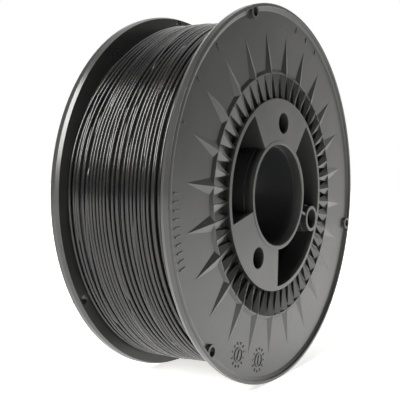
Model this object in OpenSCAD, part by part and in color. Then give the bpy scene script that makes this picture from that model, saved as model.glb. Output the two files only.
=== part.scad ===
// Filament spool: two identical side discs joined by a winding drum, an axle sleeve
// and three tie tubes, with a full winding of filament between the discs.
// The axle lies along Y, the origin is the middle of the spool, and +Z is up.

/* [Spool] */
// Diameter of the side discs
disc_d = 200; // [180:1:220]
// Width over both side discs
spool_w = 70; // [60:1:90]
// Clock angle of the key pin hole, seen from the front, as the spool stands
key_clock = 109.6; // [0:0.1:360]

/* [Side disc] */
// Thickness of a side disc at its rim
disc_t = 5; // [4.6:0.1:6]
// Depth of the outer plate below the rim
plate_depth = 1.6; // [1.4:0.1:2.2]
// Width of the raised lip around the edge
lip_w = 2; // [1.6:0.1:2.4]
// Depth at which the lip's inner wall meets the slope inside it
ledge_depth = 0.8; // [0.6:0.1:1.2]
// Radius at which the plate ends and that slope starts
plate_r = 96; // [94:0.5:96]
// Radius of the filament hole circle
end_hole_r = 96.4; // [96:0.1:96.6]
// Diameter of a filament hole
end_hole_d = 4.6; // [3:0.1:4.6]
// Outer diameter of the boss around a filament hole
end_boss_d = 7; // [6.4:0.1:7]

/* [Sunburst ribs] */
// Number of long gussets around the collar
gusset_count = 24; // [12:1:30]
// Radius of the gussets' pointed ends
gusset_tip_r = 85.8; // [80:0.1:88]
// Width of a gusset where it meets the collar
gusset_w = 8.6; // [5:0.1:9]
// Radius of the collar's crest
collar_r = 65; // [62:0.5:66]
// Depth of the collar's crest below the rim
collar_depth = 0.5; // [0.4:0.1:0.8]
// Depth of the trench floor below the rim
trench_depth = 3.6; // [2.8:0.1:3.8]
// Number of short ribs in the trench
trench_rib_count = 48; // [24:1:54]

/* [Hub] */
// Outer radius of the hub ring
hub_r = 51.4; // [50:0.1:52]
// Wall of the hub ring
hub_wall = 2.2; // [1.6:0.1:2.6]
// Depth of the hub face below the rim
hub_depth = 0.2; // [0.1:0.1:0.6]
// Thickness of the two hub sectors
sector_t = 2.5; // [2:0.1:3]
// Diameter of the bore in a side disc
mouth_d = 54; // [50:0.5:56]
// Diameter of a pin hole
pin_hole_d = 11.2; // [9:0.1:12]
// Radius of the key pin hole's centre
key_pin_r = 43.3; // [42:0.1:43.5]
// Radius of the other two pin holes' centres
side_pin_r = 38.7; // [38.5:0.1:40]
// Angle from the key pin hole to each of the other two
pin_spread = 105; // [100:1:110]

/* [Core] */
// Inner diameter of the axle sleeve
sleeve_d = 52; // [48:0.5:53]
// Wall of the axle sleeve
sleeve_wall = 2; // [1.5:0.1:2.4]
// Wall of the winding drum
drum_wall = 2; // [1.5:0.1:3]
// Wall of a tie tube
tie_wall = 1.2; // [1:0.1:1.4]

/* [Filament] */
// Outer radius of the winding
winding_r = 94; // [60:0.5:95]
// Number of turns side by side across the winding
turns_across = 31; // [28:1:34]

/* [Hidden] */
$fn = 128;

disc_r = disc_d / 2;
inside_w = spool_w - 2 * disc_t;
bury = 0.4;                 // how far ribs and marks reach into the plate they stand on
edge = 0.4;                 // chamfer on the rim and mouth edges
crest_w = 0.6;              // flat top of the collar
crest_rise = 0.3;           // how far the ribs' ridges stand above that flat top
rib_shoulder = 1.8;         // depth at which a trench rib's sloping top meets its steep sides
collar_slope = 1.6;         // width of the collar's sloping outer side
rim_straight = 3;           // length of the rim's cylindrical edge
rim_taper = 0.8;            // how much the rim narrows towards the winding
fit_gap = 0.05;             // clearance of a tube in its socket
spigot_len = 9;             // how far the hub ring reaches into the drum
mouth_wall = 2.2;
socket_len = 8;             // depth of the sleeve and tie tube sockets
socket_wall = 1.1;
tie_seat = 4;               // depth at which a tie tube is seated
web_t = 1.8;                // radial walls along the hub sectors
web_depth = 22;
key_web_t = 1.6;
sector_edges = [71, 144.5]; // edge angles of a hub sector, from the key direction
end_hole_offset = -7.6;     // filament holes, from the key direction
dial_angles = [82, 96.3];   // mould date dials, from the key direction
dial_r = 87.5;
mark_h = 0.35;
pins = [[key_pin_r, 0], [side_pin_r, -pin_spread], [side_pin_r, pin_spread]];
tie_len = spool_w - 2 * tie_seat;
disc_colour = [0.2, 0.2, 0.21];
core_colour = [0.16, 0.16, 0.17];
filament_colour = [0.1, 0.1, 0.1];

// A tube along +Z from z0 to z1
module tube(outer_r, inner_r, z0, z1) {
    translate([0, 0, z0])
        difference() {
            cylinder(r = outer_r, h = z1 - z0);
            translate([0, 0, -1]) cylinder(r = inner_r, h = z1 - z0 + 2);
        }
}

// Moves children out along the disc to a radius and an angle from the key direction
module at(radius, angle) {
    rotate([0, 0, angle]) translate([radius, 0, 0]) children();
}

// Lays a disc-frame child on the front (outer face to -Y) or rear side of the spool
module on_front() {
    translate([0, -spool_w / 2, 0]) rotate([-90, 0, 0]) rotate([0, 0, key_clock - 90]) children();
}

module on_rear() {
    translate([0, spool_w / 2, 0]) rotate([90, 0, 0]) rotate([0, 0, 90 - key_clock]) children();
}

// Rim, plate, collar, trench floor and hub ring, as one turned profile of radius and depth
module disc_profile() {
    lip_r = disc_r - lip_w;
    rotate_extrude()
        polygon([
            [hub_r - hub_wall, hub_depth], [hub_r, hub_depth],
            [hub_r, trench_depth], [collar_r - crest_w, trench_depth],
            [collar_r - crest_w, collar_depth], [collar_r, collar_depth],
            [collar_r + collar_slope, plate_depth], [plate_r, plate_depth],
            [lip_r, ledge_depth], [lip_r, edge], [lip_r + edge, 0],
            [disc_r - edge, 0], [disc_r, edge],
            [disc_r, rim_straight], [disc_r - rim_taper, disc_t],
            [hub_r, disc_t], [hub_r, disc_t + spigot_len],
            [hub_r - hub_wall, disc_t + spigot_len]
        ]);
}

// The ring around the bore, with a socket behind it for the axle sleeve
module bore_mouth() {
    mouth_r = mouth_d / 2;
    seat_r = sleeve_d / 2 + sleeve_wall + fit_gap;
    rotate_extrude()
        polygon([
            [mouth_r, edge], [mouth_r + edge, 0], [mouth_r + mouth_wall, 0],
            [mouth_r + mouth_wall, disc_t], [seat_r + mouth_wall, disc_t],
            [seat_r + mouth_wall, disc_t + socket_len], [seat_r, disc_t + socket_len],
            [seat_r, disc_t], [mouth_r, disc_t]
        ]);
}

// A pointed gusset: its ridge falls from the collar's crest to a point on the plate
module gusset() {
    root_r = collar_r - crest_w * 0.75;
    top = collar_depth - crest_rise;
    low = plate_depth + bury;
    sunk = (low - top) / (plate_depth - top);
    half_w = gusset_w / 2 * sunk;
    tip_r = root_r + (gusset_tip_r - root_r) * sunk;
    polyhedron(
        points = [[root_r, 0, top], [root_r, half_w, low], [root_r, -half_w, low], [tip_r, 0, low]],
        faces = [[0, 1, 2], [0, 3, 1], [0, 2, 3], [1, 3, 2]]
    );
}

// A trench rib: a low ridge over steep sides that narrows from the collar to the hub ring
module trench_rib() {
    root_r = collar_r - crest_w * 0.25;
    end_r = hub_r - 0.5;
    root_half_w = 1.08 * PI * root_r / trench_rib_count;
    end_half_w = 0.5;
    low = trench_depth + bury;
    polyhedron(
        points = [
            [root_r, 0, collar_depth - crest_rise],
            [root_r, root_half_w, rib_shoulder], [root_r, -root_half_w, rib_shoulder],
            [root_r, root_half_w, low], [root_r, -root_half_w, low],
            [end_r, 0, hub_depth + 0.4],
            [end_r, end_half_w, rib_shoulder], [end_r, -end_half_w, rib_shoulder],
            [end_r, end_half_w, low], [end_r, -end_half_w, low]
        ],
        faces = [
            [0, 2, 4, 3, 1], [5, 6, 8, 9, 7], [0, 1, 6], [0, 6, 5], [0, 5, 7], [0, 7, 2],
            [1, 3, 8, 6], [4, 2, 7, 9], [3, 4, 9, 8]
        ]
    );
}

// The angular slice from one angle to another, out to the hub ring
module slice(from, to, z0, z1) {
    steps = 6;
    reach = hub_r / cos((to - from) / steps / 2);
    translate([0, 0, z0])
        linear_extrude(height = z1 - z0)
            polygon(concat(
                [[0, 0]],
                [for (i = [0:steps]) let (a = from + (to - from) * i / steps) reach * [cos(a), sin(a)]]
            ));
}

// The two solid hub sectors, which leave a wide window at the key and a narrow one opposite
module hub_sectors() {
    inner_r = mouth_d / 2 + mouth_wall / 2;
    outer_r = hub_r - hub_wall / 2;
    first = sector_edges[0];
    last = sector_edges[1];
    difference() {
        tube(outer_r, inner_r, hub_depth, hub_depth + sector_t);
        slice(-first, first, -1, disc_t);
        slice(last, 360 - last, -1, disc_t);
        for (pin = pins) at(pin[0], pin[1]) translate([0, 0, -1]) cylinder(d = pin_hole_d, h = disc_t);
    }
}

// Deep radial walls along the edges of the hub sectors
module sector_webs() {
    inner_r = mouth_d / 2 + mouth_wall + 0.4;
    length = hub_r - hub_wall / 2 - inner_r;
    for (side = [-1, 1])
        for (i = [0, 1])
            rotate([0, 0, side * sector_edges[i]])
                translate([inner_r, side * (i == 0 ? 1 : -1) * web_t / 2 - web_t / 2, hub_depth])
                    cube([length, web_t, web_depth]);
}

// The mouth ring of a pin hole, with a socket behind it for a tie tube
module pin_socket() {
    hole_r = pin_hole_d / 2;
    seat_r = hole_r + tie_wall + fit_gap;
    tube(hole_r + 1.8, hole_r, hub_depth, tie_seat);
    tube(seat_r + socket_wall, seat_r, tie_seat, tie_seat + socket_len);
}

// A raised mould date dial: a ring, a pointer and twelve ticks
module date_dial() {
    top = plate_depth - mark_h;
    tube(3.8, 3.2, top, plate_depth + bury);
    translate([-2.6, -0.5, top]) cube([5.2, 1, mark_h + bury]);
    for (hour = [0:11])
        at(5.8, hour * 30) translate([-0.6, -0.3, top]) cube([1.2, 0.6, mark_h + bury]);
}

// A row of plain raised level ticks near the rim
module level_ticks(from, to, count, length) {
    for (i = [0:count - 1])
        at(94.4 - length, from + (to - from) * i / (count - 1))
            translate([0, -0.35, plate_depth - mark_h])
                cube([length, 0.7, mark_h + bury]);
}

// One moulding, used on both sides: outer face at z = 0 and the key direction along +X
module side_disc() {
    seat_r = pin_hole_d / 2 + tie_wall + fit_gap;
    difference() {
        union() {
            disc_profile();
            for (i = [0:gusset_count - 1]) rotate([0, 0, i * 360 / gusset_count]) gusset();
            for (i = [0:trench_rib_count - 1]) rotate([0, 0, i * 360 / trench_rib_count]) trench_rib();
            for (i = [0:2])
                at(end_hole_r, end_hole_offset + i * 120) cylinder(d = end_boss_d, h = plate_depth + bury);
            for (angle = dial_angles) at(dial_r, angle) date_dial();
            level_ticks(141, 162, 10, 4);
            level_ticks(181, 209, 3, 3);
            level_ticks(-98, -82, 3, 3);
        }
        for (i = [0:2])
            at(end_hole_r, end_hole_offset + i * 120)
                translate([0, 0, -1]) cylinder(d = end_hole_d, h = disc_t + 2);
        at(key_pin_r, 0) translate([0, 0, tie_seat]) cylinder(r = seat_r, h = socket_len + 1);
    }
    bore_mouth();
    hub_sectors();
    sector_webs();
    for (pin = pins) at(pin[0], pin[1]) pin_socket();
    translate([mouth_d / 2 + mouth_wall / 2, -key_web_t / 2, hub_depth + 0.4])
        cube([key_pin_r - pin_hole_d / 2 - 1 - (mouth_d + mouth_wall) / 2, key_web_t, tie_seat]);
}

// A core tube between the discs, centred on the middle of the spool
module core_tube(outer_r, wall, length) {
    rotate([-90, 0, 0]) tube(outer_r, outer_r - wall, -length / 2, length / 2);
}

module tie_tube(pin) {
    rotate([-90, 0, 0])
        rotate([0, 0, key_clock - 90])
            at(pin[0], pin[1])
                tube(pin_hole_d / 2 + tie_wall, pin_hole_d / 2, -tie_len / 2, tie_len / 2);
}

module front_side_disc() {
    color(disc_colour) on_front() side_disc();
}

module rear_side_disc() {
    color(disc_colour) on_rear() side_disc();
}

module winding_drum() {
    color(core_colour) core_tube(hub_r + fit_gap + drum_wall, drum_wall, inside_w);
}

module axle_sleeve() {
    color(core_colour) core_tube(sleeve_d / 2 + sleeve_wall, sleeve_wall, inside_w);
}

module key_tie_tube() {
    color(core_colour) tie_tube(pins[0]);
}

module upper_tie_tube() {
    color(core_colour) tie_tube(pins[1]);
}

module lower_tie_tube() {
    color(core_colour) tie_tube(pins[2]);
}

// The wound filament as one solid, with a round crest for every turn of its outer layer
module filament_winding() {
    pitch = inside_w / turns_across;
    crest = pitch / 2;
    inner_r = hub_r + fit_gap + drum_wall;
    color(filament_colour)
        rotate([-90, 0, 0])
            rotate_extrude()
                polygon(concat(
                    [[inner_r, inside_w / 2], [inner_r, -inside_w / 2]],
                    [for (i = [0:turns_across - 1], a = [-75, -30, 30, 75])
                        [winding_r - crest + crest * cos(a), -inside_w / 2 + pitch * (i + 0.5) + crest * sin(a)]]
                ));
}

front_side_disc();
rear_side_disc();
winding_drum();
axle_sleeve();
key_tie_tube();
upper_tie_tube();
lower_tie_tube();
filament_winding();
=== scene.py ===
import math

import bpy
import numpy as np
from mathutils import Matrix, Vector


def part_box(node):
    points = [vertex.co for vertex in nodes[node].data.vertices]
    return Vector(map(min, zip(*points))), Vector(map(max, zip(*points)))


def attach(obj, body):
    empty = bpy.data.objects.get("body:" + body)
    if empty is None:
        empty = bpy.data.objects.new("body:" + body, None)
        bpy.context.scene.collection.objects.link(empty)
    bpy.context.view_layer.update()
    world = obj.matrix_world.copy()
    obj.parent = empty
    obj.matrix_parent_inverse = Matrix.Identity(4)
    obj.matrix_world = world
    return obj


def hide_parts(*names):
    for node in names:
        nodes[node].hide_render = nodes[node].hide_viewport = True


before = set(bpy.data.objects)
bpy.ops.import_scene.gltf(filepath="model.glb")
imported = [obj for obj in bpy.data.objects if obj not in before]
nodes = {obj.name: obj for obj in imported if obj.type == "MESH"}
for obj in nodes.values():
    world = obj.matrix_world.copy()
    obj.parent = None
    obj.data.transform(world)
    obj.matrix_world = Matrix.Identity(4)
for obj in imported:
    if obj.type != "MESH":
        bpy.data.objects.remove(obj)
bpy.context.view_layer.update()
rng = np.random.default_rng(7)

MM = 0.001
DISC_R = 0.1
FLOOR_Z = -DISC_R
winding_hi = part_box("filament_winding")[1]


def link(obj):
    """Puts an object in the scene and returns it."""
    bpy.context.scene.collection.objects.link(obj)
    return obj


# Camera: in front of the near disc, well to its left

LENS = 62.64
SENSOR_W = 36
CAMERA_AT = (-0.33337, -0.20794, 0.01168)
CAMERA_RIGHT = (0.5592, -0.8289, 0.0150)
CAMERA_BACK = (-0.8287, -0.5583, 0.0400)

cam_data = bpy.data.cameras.new("camera")
cam_data.sensor_width = SENSOR_W
cam_data.lens = LENS
cam_data.clip_start, cam_data.clip_end = 0.02, 20
camera = link(bpy.data.objects.new("camera", cam_data))
right = Vector(CAMERA_RIGHT).normalized()
back = Vector(CAMERA_BACK)
back = (back - back.dot(right) * right).normalized()
up = back.cross(right)
camera.matrix_world = Matrix((right, up, back)).transposed().to_4x4()
camera.location = CAMERA_AT
bpy.context.scene.camera = camera


# Node helpers

def material(name):
    """A new material with an empty node tree."""
    mat = bpy.data.materials.new(name)
    mat.use_nodes = True
    mat.node_tree.nodes.clear()
    return mat, mat.node_tree


def add(tree, kind, **values):
    """A new node; each value sets the input of that name, or the node's own setting."""
    node = tree.nodes.new(kind)
    for key, value in values.items():
        if key in node.inputs:
            node.inputs[key].default_value = value
        else:
            setattr(node, key, value)
    return node


def wire(tree, source, output, target, socket):
    """Joins an output to an input, each given by its name or its place."""
    tree.links.new(source.outputs[output], target.inputs[socket])


def ramp(tree, stops):
    """A colour ramp from (position, grey or colour) stops."""
    node = tree.nodes.new("ShaderNodeValToRGB")
    elements = node.color_ramp.elements
    while len(elements) < len(stops):
        elements.new(0.5)
    for element, (position, value) in zip(elements, stops):
        element.position = position
        colour = value if isinstance(value, tuple) else (value, value, value)
        element.color = (*colour, 1)
    return node


def smooth_range(tree, from_lo, from_hi, to_lo, to_hi):
    """A map from one range to another that eases in and out."""
    node = add(tree, "ShaderNodeMapRange", interpolation_type="SMOOTHSTEP")
    for key, value in (("From Min", from_lo), ("From Max", from_hi), ("To Min", to_lo), ("To Max", to_hi)):
        node.inputs[key].default_value = value
    return node


# Materials

def moulded_plastic(name, dark, light, rough_lo, rough_hi, grain, bevel):
    """Black moulded polystyrene: faint flow mottling, a fine spark-eroded grain, worn edges."""
    mat, tree = material(name)
    out = add(tree, "ShaderNodeOutputMaterial")
    shader = add(tree, "ShaderNodeBsdfPrincipled")
    shader.inputs["Specular IOR Level"].default_value = 0.5
    shader.inputs["IOR"].default_value = 1.55
    coords = add(tree, "ShaderNodeTexCoord")

    mottle = add(tree, "ShaderNodeTexNoise", Scale=38.0, Detail=5.0, Roughness=0.6)
    wire(tree, coords, "Object", mottle, "Vector")
    tone = ramp(tree, [(0.3, dark), (0.72, light)])
    wire(tree, mottle, "Fac", tone, "Fac")

    geometry = add(tree, "ShaderNodeNewGeometry")
    edge = ramp(tree, [(0.52, 0.0), (0.62, 1.0)])
    wire(tree, geometry, "Pointiness", edge, "Fac")
    worn = add(tree, "ShaderNodeMix", data_type="RGBA", blend_type="ADD")
    wire(tree, edge, "Color", worn, "Factor")
    wire(tree, tone, "Color", worn, "A")
    worn.inputs["B"].default_value = (0.010, 0.010, 0.010, 1)
    wire(tree, worn, "Result", shader, "Base Color")

    smudge = add(tree, "ShaderNodeTexNoise", Scale=14.0, Detail=6.0, Roughness=0.65, Distortion=0.6)
    wire(tree, coords, "Object", smudge, "Vector")
    gloss = ramp(tree, [(0.32, rough_lo), (0.7, rough_hi)])
    wire(tree, smudge, "Fac", gloss, "Fac")
    wire(tree, gloss, "Color", shader, "Roughness")

    fine = add(tree, "ShaderNodeTexNoise", Scale=2600.0, Detail=2.0, Roughness=0.5)
    wire(tree, coords, "Object", fine, "Vector")
    sink = add(tree, "ShaderNodeTexNoise", Scale=55.0, Detail=2.0, Roughness=0.4)
    wire(tree, coords, "Object", sink, "Vector")
    bump_fine = add(tree, "ShaderNodeBump", Strength=grain, Distance=0.00006)
    wire(tree, fine, "Fac", bump_fine, "Height")
    bump_sink = add(tree, "ShaderNodeBump", Strength=0.25, Distance=0.0004)
    wire(tree, sink, "Fac", bump_sink, "Height")
    rounded = add(tree, "ShaderNodeBevel", Radius=bevel)
    rounded.samples = 4
    wire(tree, rounded, "Normal", bump_sink, "Normal")
    wire(tree, bump_sink, "Normal", bump_fine, "Normal")
    wire(tree, bump_fine, "Normal", shader, "Normal")
    wire(tree, shader, "BSDF", out, "Surface")
    return mat


def filament_plastic():
    """Extruded strand: satin black with fine draw lines along its length."""
    mat, tree = material("filament_plastic")
    out = add(tree, "ShaderNodeOutputMaterial")
    shader = add(tree, "ShaderNodeBsdfPrincipled")
    shader.inputs["IOR"].default_value = 1.5
    shader.inputs["Specular IOR Level"].default_value = 0.5
    coords = add(tree, "ShaderNodeTexCoord")

    stretch = add(tree, "ShaderNodeMapping", vector_type="POINT")
    stretch.inputs["Scale"].default_value = (0.5, 16.0, 1.0)
    wire(tree, coords, "UV", stretch, "Vector")
    lines = add(tree, "ShaderNodeTexNoise", Scale=1.0, Detail=4.0, Roughness=0.6)
    wire(tree, stretch, "Vector", lines, "Vector")

    patch = add(tree, "ShaderNodeTexNoise", Scale=60.0, Detail=3.0, Roughness=0.5)
    wire(tree, coords, "Object", patch, "Vector")
    tone = ramp(tree, [(0.3, (0.008, 0.008, 0.0085)), (0.75, (0.015, 0.0145, 0.0138))])
    wire(tree, patch, "Fac", tone, "Fac")
    wire(tree, tone, "Color", shader, "Base Color")

    gloss = ramp(tree, [(0.3, 0.15), (0.75, 0.27)])
    wire(tree, lines, "Fac", gloss, "Fac")
    wire(tree, gloss, "Color", shader, "Roughness")
    bump = add(tree, "ShaderNodeBump", Strength=0.35, Distance=0.00004)
    wire(tree, lines, "Fac", bump, "Height")
    wire(tree, bump, "Normal", shader, "Normal")
    wire(tree, shader, "BSDF", out, "Surface")
    return mat


disc_plastic = moulded_plastic(
    "side_disc_plastic", (0.019, 0.0192, 0.0195), (0.027, 0.0268, 0.0255), 0.27, 0.37, 0.4, 0.0002)
# The core gets the same black plastic made darker and bluer: painted shade for the core, which sits in
# shadow in the hollows.
core_plastic = moulded_plastic(
    "core_plastic", (0.005, 0.0054, 0.0072), (0.008, 0.0085, 0.0105), 0.30, 0.42, 0.4, 0.00016)
strand_plastic = filament_plastic()

for name, obj in nodes.items():
    if name == "filament_winding":
        continue
    finish = disc_plastic if "side_disc" in name else core_plastic
    obj.data.materials.clear()
    obj.data.materials.append(finish)


# Filament: every turn of the outer two layers is a real strand

STRAND_R = 0.875 * MM
INNER_Y = winding_hi[1]
UV_LENGTH = 0.01
WINDING_R = 93.2       # mean outer radius of the winding, in mm
WINDING_TAPER = 1.2    # how much higher it stands next to the rear disc, in mm
SLACK_CLOCK = 345      # clock angle at which the outer layer is furthest from the rear disc
SLACK_BEFORE = 73.0    # degrees over which it pulls away
SLACK_AFTER = 110.0    # degrees over which it comes back
SINK_FROM = 0.72       # share of the width beyond which the lower layer sinks there
STRAY_DIP = 2.2        # depth in mm at which a crossing strand starts and ends
STRAY_RISE = 3.0       # it comes up within one part in this many of its half length
STRAY_POINTS = 120
OUTER_TURNS = 24
UNDER_TURNS = 32


def tube_mesh(name, path, radius, sides):
    """A strand along path (N x 3), with its section in the plane of the axle and the radius.

    Its UV map runs along the strand in u, one unit per UV_LENGTH, and once round it in v.
    """
    path = np.asarray(path)
    count = len(path)
    outward = path.copy()
    outward[:, 1] = 0
    outward /= np.linalg.norm(outward, axis=1)[:, None]
    along = np.array([0.0, 1.0, 0.0])
    turn = np.linspace(0, 2 * math.pi, sides, endpoint=False)
    rings = (path[:, None, :]
             + radius * np.cos(turn)[None, :, None] * outward[:, None, :]
             + radius * np.sin(turn)[None, :, None] * along[None, None, :])
    verts = rings.reshape(-1, 3)
    i = np.arange(count - 1)[:, None] * sides
    j = np.arange(sides)[None, :]
    k = (j + 1) % sides
    quads = np.stack([i + j, i + k, i + sides + k, i + sides + j], -1).reshape(-1, 4)
    mesh = bpy.data.meshes.new(name)
    mesh.from_pydata(verts.tolist(), [], quads.tolist())
    uv = mesh.uv_layers.new(name="strand")
    lengths = np.concatenate([[0], np.cumsum(np.linalg.norm(np.diff(path, axis=0), axis=1))])
    u = np.repeat(lengths[:-1] / UV_LENGTH, sides)
    u_next = np.repeat(lengths[1:] / UV_LENGTH, sides)
    v = np.tile(np.arange(sides) / sides, count - 1)
    v_next = v + 1 / sides
    loops = np.stack([np.stack([u, v], -1), np.stack([u, v_next], -1),
                      np.stack([u_next, v_next], -1), np.stack([u_next, v], -1)], 1)
    uv.data.foreach_set("uv", loops.reshape(-1).astype(np.float32))
    mesh.polygons.foreach_set("use_smooth", [True] * len(quads))
    mesh.validate()
    mesh.update()
    return mesh


def smoothstep(x):
    return x * x * (3 - 2 * x)


def smooth_noise(length, step, amount):
    """Gentle wander: random values every step samples, joined by a smooth blend."""
    knots = rng.normal(0, amount, int(length / step) + 3)
    x = np.arange(length) / step
    i = np.floor(x).astype(int)
    f = smoothstep(x - i)
    return knots[i] * (1 - f) + knots[i + 1] * f


def surface_radius(y):
    """The winding stands a little higher towards the rear disc."""
    return (WINDING_R + WINDING_TAPER * y / INNER_Y) * MM


def slack(turns_round):
    """How far the layer has pulled away from the rear disc, from 0 to 1, by the clock round the spool."""
    from_peak = (turns_round * 360 - SLACK_CLOCK + 180) % 360 - 180
    spread = np.where(from_peak < 0, SLACK_BEFORE, SLACK_AFTER)
    return np.cos(np.clip(np.abs(from_peak) / spread, 0, 1) * math.pi / 2) ** 2


def helix(spacings, segments, drop, wander, lift, pull, sink):
    """A strand that goes once round for every spacing and moves along the axle by that much.

    Where the layer is slack it is pulled towards the front disc, or sinks next to the rear disc.
    """
    turns = len(spacings)
    total = turns * segments + 1
    t = np.arange(total) / segments
    edges = np.concatenate([[0], np.cumsum(spacings)])
    edges *= (2 * INNER_Y - 2 * STRAND_R) / edges[-1]
    y = np.interp(t, np.arange(turns + 1), edges) - INNER_Y + STRAND_R
    y += smooth_noise(total, segments * 0.11, wander)
    y = np.clip(y, -INNER_Y + STRAND_R, INNER_Y - STRAND_R)
    share = (y + INNER_Y) / (2 * INNER_Y)
    y = y - pull * slack(t) * share
    edge = np.clip((share - SINK_FROM) / (1 - SINK_FROM), 0, 1)
    drop = drop + sink * slack(t) * smoothstep(edge)
    r = surface_radius(y) - STRAND_R - drop + smooth_noise(total, segments * 0.15, lift)
    a = 2 * math.pi * t
    return np.stack([r * np.sin(a), y, r * np.cos(a)], -1)


def stray(clock, y_from, y_to, sweep, height):
    """A strand that comes up between its neighbours, crosses over them and goes down again."""
    a = np.radians(np.linspace(clock - sweep, clock + sweep, STRAY_POINTS))
    s = np.linspace(-1, 1, len(a))
    y = (y_from + (y_to - y_from) * (0.5 + 0.5 * np.sin(s * math.pi / 2))) * MM
    rise = smoothstep(np.clip((1 - np.abs(s)) * STRAY_RISE, 0, 1))
    r = surface_radius(y) - STRAND_R - STRAY_DIP * MM + rise * (STRAY_DIP + height) * MM
    return np.stack([r * np.sin(a), y, r * np.cos(a)], -1)


# The outer layer lies in loose groups: most turns touch, and some leave a gap that shows the layer below
loose = rng.random(OUTER_TURNS) < 0.45
gaps = np.where(loose, rng.uniform(2.4, 3.3, OUTER_TURNS), rng.uniform(1.8, 2.0, OUTER_TURNS))
under = np.full(UNDER_TURNS, 1.8)
outer_path = helix(gaps, segments=200, drop=0.0, wander=0.11 * MM, lift=0.12 * MM,
                   pull=11 * MM, sink=0.0)
under_path = helix(under, segments=160, drop=1.15 * MM, wander=0.08 * MM, lift=0.10 * MM,
                   pull=0.0, sink=4.5 * MM)
paths = [("filament_outer_turns", outer_path, 10), ("filament_under_turns", under_path, 8)]
# Clock angle, place along the axle at either end in mm, half the sweep in degrees, height in mm
strays = [
    (252, 20.5, 17.0, 34, 0.35), (281, 24.5, 22.3, 30, 0.30), (268, 3.5, 6.2, 38, 0.30),
    (240, -6.5, -9.6, 30, 0.35), (300, -14.5, -11.6, 28, 0.30), (318, 12.0, 9.0, 30, 0.3),
    (20, 15.0, 11.5, 36, 0.35), (60, -4.0, -8.0, 32, 0.3), (120, 6.0, 10.0, 40, 0.35),
    (165, -16.0, -12.5, 34, 0.3), (205, 9.0, 5.5, 36, 0.35), (335, -2.0, 1.2, 30, 0.3),
]
paths += [("filament_crossing_%02d" % (i + 1), stray(*values), 10) for i, values in enumerate(strays)]
for name, path, sides in paths:
    strand = link(bpy.data.objects.new(name, tube_mesh(name, path, STRAND_R, sides)))
    strand.data.materials.append(strand_plastic)
    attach(strand, "root")
    if name == "filament_outer_turns":
        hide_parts("filament_winding")


# Stage

FLOOR_HALF = 4


def floor_white():
    """White paper that also glows as painted light: to the camera the glow grows away from the spool until
    it fades into the backdrop; in reflections the painted glow is dim on the left.
    """
    mat, tree = material("floor_white")
    out = add(tree, "ShaderNodeOutputMaterial")
    paper = add(tree, "ShaderNodeBsdfDiffuse", Color=(0.86, 0.86, 0.855, 1))
    coords = add(tree, "ShaderNodeTexCoord")
    # Painted light: in reflections the floor glows dim on the left and bright to the right; to the camera
    # it glows more the further it is from the spool.
    reach = add(tree, "ShaderNodeVectorMath", operation="DOT_PRODUCT")
    reach.inputs[1].default_value = (1.0, 0.1, 0.0)
    wire(tree, coords, "Object", reach, 0)
    lit = smooth_range(tree, -0.34, 0.14, 0.05, 1.15)
    wire(tree, reach, "Value", lit, "Value")
    distance = add(tree, "ShaderNodeVectorMath", operation="LENGTH")
    wire(tree, coords, "Object", distance, 0)
    fade = smooth_range(tree, 0.12, 0.55, 0.70, 1.20)
    wire(tree, distance, "Value", fade, "Value")
    path = add(tree, "ShaderNodeLightPath")
    level = add(tree, "ShaderNodeMix", data_type="FLOAT")
    wire(tree, path, "Is Camera Ray", level, "Factor")
    wire(tree, lit, "Result", level, "A")
    wire(tree, fade, "Result", level, "B")
    glow = add(tree, "ShaderNodeEmission", Color=(1.0, 0.992, 0.965, 1))
    wire(tree, level, "Result", glow, "Strength")
    both = add(tree, "ShaderNodeAddShader")
    wire(tree, paper, 0, both, 0)
    wire(tree, glow, 0, both, 1)
    wire(tree, both, 0, out, "Surface")
    return mat


corners = [(x * FLOOR_HALF, y * FLOOR_HALF, FLOOR_Z) for x, y in ((-1, -1), (1, -1), (1, 1), (-1, 1))]
mesh = bpy.data.meshes.new("floor")
mesh.from_pydata(corners, [], [(0, 1, 2, 3)])
floor = link(bpy.data.objects.new("floor", mesh))
floor.data.materials.append(floor_white())


def area_light(name, location, size, power, colour=(1, 1, 1)):
    """A rectangular light that faces the middle of the spool."""
    data = bpy.data.lights.new(name, "AREA")
    data.shape = "RECTANGLE"
    data.size, data.size_y = size
    data.energy = power
    data.color = colour
    obj = link(bpy.data.objects.new(name, data))
    obj.location = location
    obj.rotation_mode = "QUATERNION"
    obj.rotation_quaternion = (-Vector(location)).to_track_quat("-Z", "Y")


area_light("window", (-1.23, 0.05, 0.97), (0.62, 1.25), 56, (1.0, 0.995, 0.97))
area_light("top", (0.5, 0.1, 1.6), (1.4, 1.4), 8)

# The room: a bright wall behind and to the right, dim to the front, the left and overhead
world = bpy.data.worlds.new("studio")
bpy.context.scene.world = world
world.use_nodes = True
tree = world.node_tree
tree.nodes.clear()
out = add(tree, "ShaderNodeOutputWorld")
coords = add(tree, "ShaderNodeTexCoord")
facing = add(tree, "ShaderNodeVectorMath", operation="DOT_PRODUCT")
facing.inputs[1].default_value = (0.83, 0.56, -0.6)
wire(tree, coords, "Generated", facing, 0)
wall = ramp(tree, [(0.0, 0.02), (0.2, (0.14, 0.14, 0.138)), (0.36, (0.33, 0.33, 0.322)),
                   (0.55, (0.72, 0.71, 0.69)), (0.8, (0.9, 0.89, 0.87))])
wire(tree, facing, "Value", wall, "Fac")
room = add(tree, "ShaderNodeBackground", Strength=2.0)
wire(tree, wall, "Color", room, "Color")
backdrop = add(tree, "ShaderNodeBackground", Color=(1, 1, 1, 1), Strength=1.0)
path = add(tree, "ShaderNodeLightPath")
mixed = add(tree, "ShaderNodeMixShader")
wire(tree, path, "Is Camera Ray", mixed, "Fac")
wire(tree, room, 0, mixed, 1)
wire(tree, backdrop, 0, mixed, 2)
wire(tree, mixed, 0, out, "Surface")
bpy.context.scene.view_settings.view_transform = "Standard"
bpy.context.scene.view_settings.look = "None"
